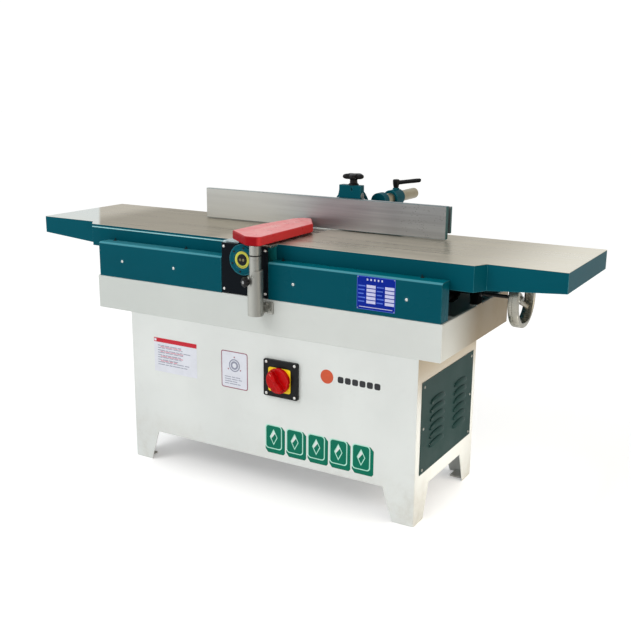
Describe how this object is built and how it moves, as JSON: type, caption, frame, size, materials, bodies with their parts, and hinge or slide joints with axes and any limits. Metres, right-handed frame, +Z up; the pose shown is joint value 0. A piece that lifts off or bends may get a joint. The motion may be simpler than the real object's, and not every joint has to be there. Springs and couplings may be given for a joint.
{
  "type": "jointer",
  "caption": "Floor-standing surface planer: white cabinet, long iron tables on rocker shafts, covered cutter block, tilting fence on a bar, swinging red guard.",
  "frame": {"origin": "on the floor, under the middle of the overall bounding box", "axes": "+X towards the infeed end with the handwheel, +Y from the operator to the back, +Z up"},
  "size_m": [2.049, 0.9081, 1.052],
  "materials": {
    "white_paint": "smooth gloss enamel",
    "teal_paint": "smooth gloss enamel",
    "louvre_paint": "dull dark green enamel",
    "black_paint": "satin",
    "grey_casting": "as cast",
    "table_iron": "ground top, teal painted sides",
    "lip_steel": "ground",
    "fence_iron": "milled face, teal painted edges and back",
    "bright_steel": "turned and ground",
    "wheel_chrome": "polished",
    "black_plastic": "moulded",
    "yellow_plastic": "moulded",
    "red_plastic": "moulded",
    "guard_red": "gloss enamel",
    "belt_rubber": "matt",
    "sheet_steel": "grey primer"
  },
  "bodies": {
    "stand": {"cabinet": "white_paint", "louvre_panel": "louvre_paint", "bed_frame": "white_paint", "front_cover_left": "teal_paint", "front_cover_right": "teal_paint", "rear_cover_left": "teal_paint", "rear_cover_right": "teal_paint", "bearing_plate_front": "black_paint", "bearing_cap_front": "teal_paint", "bearing_housing_front": "grey_casting", "bearing_housing_rear": "grey_casting", "bearing_front": "bright_steel", "bearing_rear": "bright_steel", "chip_chute": "sheet_steel", "dust_port": "sheet_steel", "belt_guard": "teal_paint", "pulley_cover": "teal_paint", "motor_mount": "sheet_steel", "motor_body": "teal_paint", "drive_belt_front": "belt_rubber", "drive_belt_rear": "belt_rubber", "switch_plate": "black_plastic", "switch_escutcheon": "yellow_plastic", "guard_bracket": "bright_steel", "guard_sleeve": "bright_steel", "fence_support": "teal_paint", "fence_sleeve": "teal_paint"},
    "cutter": {"cutter_block": "bright_steel", "cutter_pulley": "grey_casting", "knife_1": "bright_steel", "knife_2": "bright_steel", "knife_3": "bright_steel"},
    "motor_rotor": {"motor_shaft": "bright_steel", "motor_pulley": "grey_casting"},
    "infeed_rocker_in": {"infeed_rocker_inner": "grey_casting"},
    "infeed_table": {"infeed_table": "table_iron", "infeed_lip": "lip_steel"},
    "infeed_rocker_out": {"infeed_rocker_outer": "grey_casting"},
    "infeed_nut": {"infeed_nut": "bright_steel"},
    "infeed_screw": {"infeed_screw": "bright_steel", "handwheel": "wheel_chrome"},
    "handwheel_handle": {"handwheel_handle": "black_plastic"},
    "outfeed_rocker_in": {"outfeed_rocker_inner": "grey_casting"},
    "outfeed_table": {"outfeed_table": "table_iron", "outfeed_lip": "lip_steel"},
    "outfeed_rocker_out": {"outfeed_rocker_outer": "grey_casting"},
    "outfeed_nut": {"outfeed_nut": "bright_steel"},
    "outfeed_screw": {"outfeed_screw": "bright_steel"},
    "switch_knob": {"switch_knob": "red_plastic"},
    "guard_post": {"guard_post": "bright_steel"},
    "guard_cover": {"guard_cover": "guard_red"},
    "guard_knob": {"guard_knob": "black_plastic"},
    "fence_carriage": {"fence_bar": "bright_steel", "fence_carriage": "teal_paint", "fence_quadrant": "bright_steel", "fence_hinge_pin": "bright_steel"},
    "fence": {"fence_plate": "fence_iron", "fence_clamp_block": "teal_paint"},
    "fence_star_knob": {"fence_star_knob": "black_plastic"},
    "fence_lock_lever": {"fence_lock_lever": "black_plastic"}
  },
  "joints": [
    {"name": "cutter_spin", "type": "hinge", "parent": "stand", "child": "cutter", "pos_m": [-0.0185, -0.081, 0.797], "axis": [0, 1, 0], "continuous": true},
    {"name": "motor_spin", "type": "hinge", "parent": "stand", "child": "motor_rotor", "pos_m": [-0.0185, 0.144, 0.27], "axis": [0, 1, 0], "continuous": true},
    {"name": "infeed_lift", "type": "hinge", "parent": "stand", "child": "infeed_rocker_in", "pos_m": [0.19, -0.066, 0.65], "axis": [0, 1, 0], "range_deg": [0, 8.2]},
    {"name": "infeed_level", "type": "hinge", "parent": "infeed_rocker_in", "child": "infeed_table", "pos_m": [0.24, -0.066, 0.7366], "axis": [0, 1, 0], "range_deg": [-8.2, 0]},
    {"name": "infeed_follow", "type": "hinge", "parent": "stand", "child": "infeed_rocker_out", "pos_m": [0.53, -0.066, 0.65], "axis": [0, 1, 0], "range_deg": [0, 8.2]},
    {"name": "infeed_nut_turn", "type": "hinge", "parent": "infeed_rocker_out", "child": "infeed_nut", "pos_m": [0.52564, -0.053, 0.71084], "axis": [0, 1, 0], "range_deg": [-8.2, 0]},
    {"name": "infeed_screw_turn", "type": "hinge", "parent": "stand", "child": "infeed_screw", "pos_m": [0.6905, -0.053, 0.71084], "axis": [-1, 0, 0], "range_deg": [0, 785]},
    {"name": "outfeed_lift", "type": "hinge", "parent": "stand", "child": "outfeed_rocker_in", "pos_m": [-0.227, -0.066, 0.65], "axis": [0, -1, 0], "range_deg": [-0.5, 4]},
    {"name": "outfeed_level", "type": "hinge", "parent": "outfeed_rocker_in", "child": "outfeed_table", "pos_m": [-0.277, -0.066, 0.7366], "axis": [0, -1, 0], "range_deg": [-4, 0.5]},
    {"name": "outfeed_follow", "type": "hinge", "parent": "stand", "child": "outfeed_rocker_out", "pos_m": [-0.567, -0.066, 0.65], "axis": [0, -1, 0], "range_deg": [-0.5, 4]},
    {"name": "outfeed_nut_turn", "type": "hinge", "parent": "outfeed_rocker_out", "child": "outfeed_nut", "pos_m": [-0.56264, -0.053, 0.71084], "axis": [0, -1, 0], "range_deg": [-4, 0.5]},
    {"name": "outfeed_screw_turn", "type": "hinge", "parent": "stand", "child": "outfeed_screw", "pos_m": [-0.6685, -0.053, 0.71084], "axis": [1, 0, 0], "range_deg": [-48, 383]},
    {"name": "handle_spin", "type": "hinge", "parent": "infeed_screw", "child": "handwheel_handle", "pos_m": [0.86, -0.053, 0.79284], "axis": [1, 0, 0], "continuous": true},
    {"name": "switch_turn", "type": "hinge", "parent": "stand", "child": "switch_knob", "pos_m": [0.1275, -0.386, 0.4085], "axis": [0, 1, 0], "range_deg": [0, 90]},
    {"name": "guard_lift", "type": "slide", "parent": "stand", "child": "guard_post", "axis": [0, 0, 1], "range_m": [0, 0.08]},
    {"name": "guard_swing", "type": "hinge", "parent": "guard_post", "child": "guard_cover", "pos_m": [0.0565, -0.401, 0.873], "axis": [0, 0, 1], "range_deg": [0, 90]},
    {"name": "guard_lock", "type": "hinge", "parent": "stand", "child": "guard_knob", "pos_m": [0.04522, -0.43571, 0.743], "axis": [0.309, 0.9511, 0], "range_deg": [0, 360]},
    {"name": "fence_slide", "type": "slide", "parent": "stand", "child": "fence_carriage", "axis": [0, 1, 0], "range_m": [-0.01, 0.055]},
    {"name": "fence_tilt", "type": "hinge", "parent": "fence_carriage", "child": "fence", "pos_m": [0.1505, 0.081, 0.865], "axis": [-1, 0, 0], "range_deg": [0, 45]},
    {"name": "fence_tilt_lock", "type": "hinge", "parent": "fence", "child": "fence_star_knob", "pos_m": [0.1505, 0.084, 1.03], "axis": [0, 0, 1], "range_deg": [0, 360]},
    {"name": "fence_slide_lock", "type": "hinge", "parent": "stand", "child": "fence_lock_lever", "pos_m": [0.2165, 0.294, 1.01], "axis": [0, 0, 1], "range_deg": [-70, 50]}
  ],
  "couplings": [
    {"joint": "motor_spin", "follows": "cutter_spin", "ratio": 0.51429},
    {"joint": "infeed_level", "follows": "infeed_lift", "ratio": -1},
    {"joint": "infeed_follow", "follows": "infeed_lift", "ratio": 1},
    {"joint": "infeed_nut_turn", "follows": "infeed_lift", "ratio": -1},
    {"joint": "infeed_screw_turn", "follows": "infeed_lift", "ratio": 95.7},
    {"joint": "outfeed_level", "follows": "outfeed_lift", "ratio": -1},
    {"joint": "outfeed_follow", "follows": "outfeed_lift", "ratio": 1},
    {"joint": "outfeed_nut_turn", "follows": "outfeed_lift", "ratio": -1},
    {"joint": "outfeed_screw_turn", "follows": "outfeed_lift", "ratio": 95.7}
  ]
}
